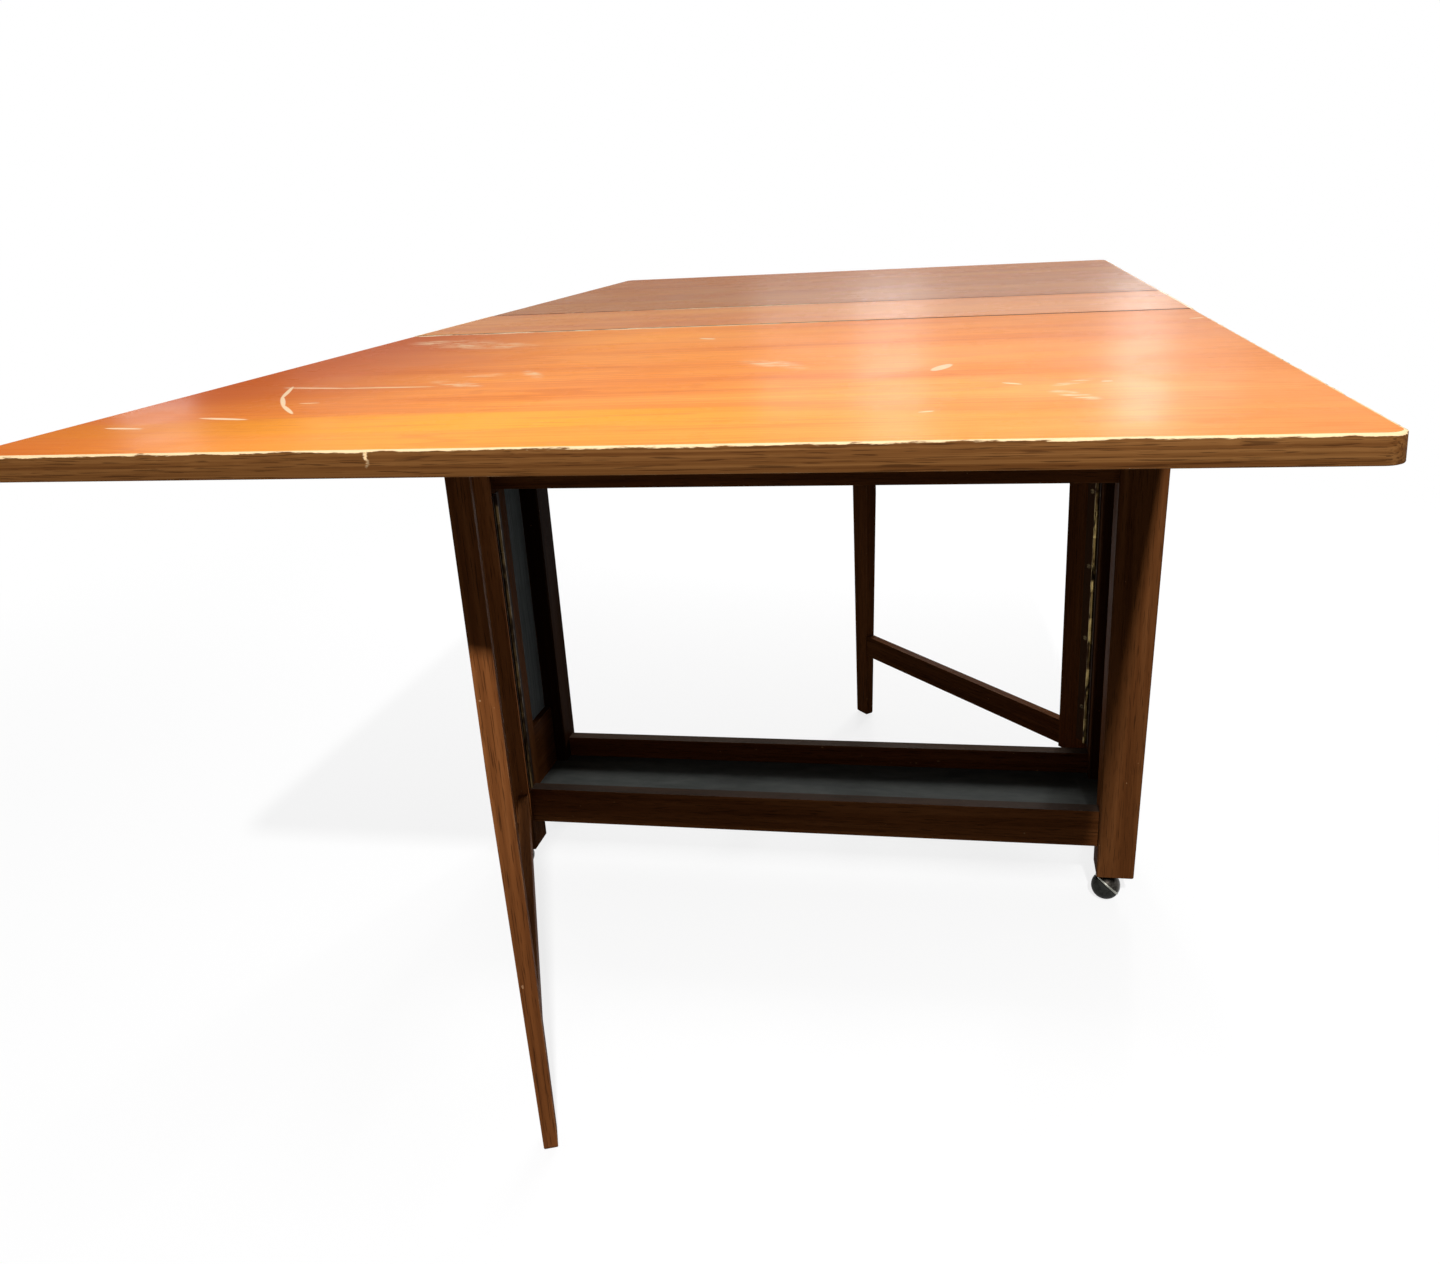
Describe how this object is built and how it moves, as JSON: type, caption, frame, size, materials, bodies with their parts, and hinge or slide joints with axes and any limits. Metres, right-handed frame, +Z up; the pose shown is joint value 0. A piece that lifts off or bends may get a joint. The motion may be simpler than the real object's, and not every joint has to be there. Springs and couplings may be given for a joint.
{
  "type": "drop leaf table",
  "caption": "Gateleg drop leaf table: narrow centre board, hinged leaves held up by swinging gates, a storage bay with a low tray, on ball castors.",
  "frame": {"origin": "on the floor under the middle of the table", "axes": "+X along the seams to the right, +Y from the near leaf to the far leaf, +Z up"},
  "size_m": [0.868, 1.62, 0.735],
  "materials": {
    "top_veneer": "satin varnished veneer, orange brown, worn at the edges",
    "edging": "stained solid edging, dull, worn pale on the arris",
    "frame_wood": "dark red brown stained hardwood, dull varnish",
    "end_panel": "dark grey unvarnished board",
    "tray_board": "black painted board, matt",
    "hinge_brass": "dull tarnished brass",
    "pin_steel": "plain steel",
    "screw_steel": "dull brass screws",
    "castor_metal": "worn plated steel",
    "castor_wheel": "dark grey hard rubbery plastic"
  },
  "bodies": {
    "frame": {"centre_top": "top_veneer", "centre_top_edging": "edging", "front_right_post": "frame_wood", "front_left_post": "frame_wood", "rear_right_post": "frame_wood", "rear_left_post": "frame_wood", "front_apron": "frame_wood", "rear_apron": "frame_wood", "tray_front_rail": "frame_wood", "tray_rear_rail": "frame_wood", "left_end_top_rail": "frame_wood", "right_end_top_rail": "frame_wood", "left_end_bottom_rail": "frame_wood", "right_end_bottom_rail": "frame_wood", "top_fixing_blocks": "frame_wood", "near_gate_hinge_post_plate": "hinge_brass", "far_gate_hinge_post_plate": "hinge_brass", "left_end_panel": "end_panel", "right_end_panel": "end_panel", "tray_floor": "tray_board", "leaf_hinge_fixed_plates": "hinge_brass", "gate_hinge_pins": "pin_steel", "leaf_hinge_pins": "pin_steel", "top_fixing_screws": "screw_steel", "post_hinge_screws": "screw_steel", "leaf_hinge_fixed_screws": "screw_steel", "castor_sockets": "castor_metal"},
    "near_leaf": {"near_leaf": "top_veneer", "near_leaf_edging": "edging", "near_leaf_hinge_plates": "hinge_brass", "near_leaf_hinge_screws": "screw_steel"},
    "far_leaf": {"far_leaf": "top_veneer", "far_leaf_edging": "edging", "far_leaf_hinge_plates": "hinge_brass", "far_leaf_hinge_screws": "screw_steel"},
    "near_gate": {"near_gate_leg": "frame_wood", "near_gate_stile": "frame_wood", "near_gate_top_rail": "frame_wood", "near_gate_lower_rail": "frame_wood", "near_gate_hinge_gate_plate": "hinge_brass", "near_gate_hinge_screws": "screw_steel"},
    "far_gate": {"far_gate_leg": "frame_wood", "far_gate_stile": "frame_wood", "far_gate_top_rail": "frame_wood", "far_gate_lower_rail": "frame_wood", "far_gate_hinge_gate_plate": "hinge_brass", "far_gate_hinge_screws": "screw_steel"},
    "front_right_castor": {"front_right_castor_hood": "castor_metal", "front_right_castor_axle": "pin_steel"},
    "front_right_wheel": {"front_right_castor_wheel": "castor_wheel"},
    "front_left_castor": {"front_left_castor_hood": "castor_metal", "front_left_castor_axle": "pin_steel"},
    "front_left_wheel": {"front_left_castor_wheel": "castor_wheel"},
    "rear_right_castor": {"rear_right_castor_hood": "castor_metal", "rear_right_castor_axle": "pin_steel"},
    "rear_right_wheel": {"rear_right_castor_wheel": "castor_wheel"},
    "rear_left_castor": {"rear_left_castor_hood": "castor_metal", "rear_left_castor_axle": "pin_steel"},
    "rear_left_wheel": {"rear_left_castor_wheel": "castor_wheel"}
  },
  "joints": [
    {"name": "near_leaf_hinge", "type": "hinge", "parent": "frame", "child": "near_leaf", "pos_m": [0, -0.121, 0.7165], "axis": [-1, 0, 0], "range_deg": [0, 4]},
    {"name": "far_leaf_hinge", "type": "hinge", "parent": "frame", "child": "far_leaf", "pos_m": [0, 0.121, 0.7165], "axis": [1, 0, 0], "range_deg": [0, 4]},
    {"name": "near_gate_hinge", "type": "hinge", "parent": "frame", "child": "near_gate", "pos_m": [-0.3697, -0.0967, 0.4], "axis": [0, 0, 1], "range_deg": [-21.5, 68.5]},
    {"name": "far_gate_hinge", "type": "hinge", "parent": "frame", "child": "far_gate", "pos_m": [0.3697, 0.0967, 0.4], "axis": [0, 0, 1], "range_deg": [-42.2, 47.8]},
    {"name": "front_right_castor_swivel", "type": "hinge", "parent": "frame", "child": "front_right_castor", "pos_m": [0.3955, -0.0775, 0.04], "axis": [0, 0, 1], "continuous": true},
    {"name": "front_right_wheel_spin", "type": "hinge", "parent": "front_right_castor", "child": "front_right_wheel", "pos_m": [0.38704, -0.08058, 0.018], "axis": [-0.6645, -0.2418, -0.7071], "continuous": true},
    {"name": "front_left_castor_swivel", "type": "hinge", "parent": "frame", "child": "front_left_castor", "pos_m": [-0.3955, -0.0775, 0.04], "axis": [0, 0, 1], "continuous": true},
    {"name": "front_left_wheel_spin", "type": "hinge", "parent": "front_left_castor", "child": "front_left_wheel", "pos_m": [-0.40436, -0.07906, 0.018], "axis": [-0.6964, -0.1228, -0.7071], "continuous": true},
    {"name": "rear_right_castor_swivel", "type": "hinge", "parent": "frame", "child": "rear_right_castor", "pos_m": [0.3955, 0.0775, 0.04], "axis": [0, 0, 1], "continuous": true},
    {"name": "rear_right_wheel_spin", "type": "hinge", "parent": "rear_right_castor", "child": "rear_right_wheel", "pos_m": [0.3917, 0.08566, 0.018], "axis": [-0.2988, 0.6409, -0.7071], "continuous": true},
    {"name": "rear_left_castor_swivel", "type": "hinge", "parent": "frame", "child": "rear_left_castor", "pos_m": [-0.3955, 0.0775, 0.04], "axis": [0, 0, 1], "continuous": true},
    {"name": "rear_left_wheel_spin", "type": "hinge", "parent": "rear_left_castor", "child": "rear_left_wheel", "pos_m": [-0.38813, 0.08266, 0.018], "axis": [0.5792, 0.4056, -0.7071], "continuous": true}
  ]
}
